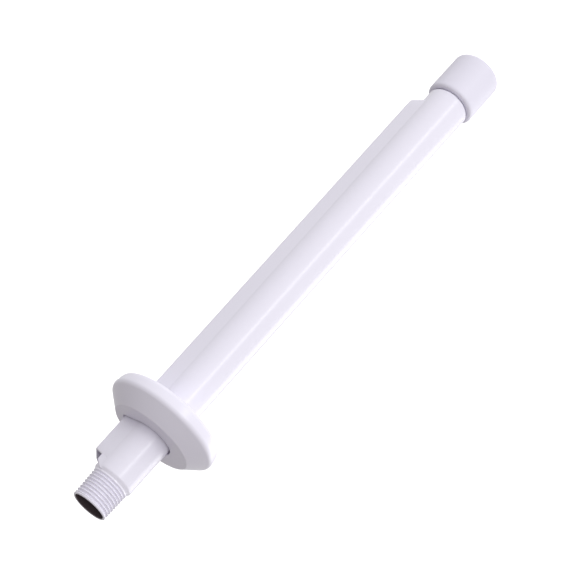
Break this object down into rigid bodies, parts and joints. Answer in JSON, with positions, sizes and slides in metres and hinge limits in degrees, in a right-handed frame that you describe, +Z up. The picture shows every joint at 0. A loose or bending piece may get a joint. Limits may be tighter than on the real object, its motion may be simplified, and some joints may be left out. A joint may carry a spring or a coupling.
{
  "type": "shower arm",
  "caption": "Straight moulded shower arm with a threaded wall end, a hollow wire duct along its underside, a sliding escutcheon and a threaded coupling sleeve.",
  "frame": {"origin": "on the arm's axis at the middle of the wall thread", "axes": "+Y along the arm from the wall towards the shower, +Z up, wire duct on the underside (-Z)"},
  "size_m": [0.0662, 0.3504, 0.0662],
  "materials": {
    "arm_plastic": "gloss",
    "escutcheon_plastic": "gloss",
    "sleeve_plastic": "satin",
    "washer_rubber": "matte"
  },
  "bodies": {
    "arm": {"arm_tube": "arm_plastic"},
    "escutcheon": {"escutcheon_cover": "escutcheon_plastic", "escutcheon_ring": "escutcheon_plastic"},
    "washer": {"seal_washer": "washer_rubber"},
    "sleeve": {"coupling_sleeve": "sleeve_plastic"}
  },
  "joints": [
    {"name": "escutcheon_slide", "type": "slide", "parent": "arm", "child": "escutcheon", "axis": [0, 1, 0], "range_m": [-0.024, 0.03]},
    {"name": "washer_travel", "type": "slide", "parent": "arm", "child": "washer", "axis": [0, 1, 0], "range_m": [0, 0.00908]},
    {"name": "sleeve_turn", "type": "hinge", "parent": "washer", "child": "sleeve", "pos_m": [0, 0.327, 0], "axis": [0, -1, 0], "range_deg": [0, 1800]}
  ],
  "couplings": [
    {"joint": "washer_travel", "follows": "sleeve_turn", "m_per_rad": 0.00028871}
  ]
}
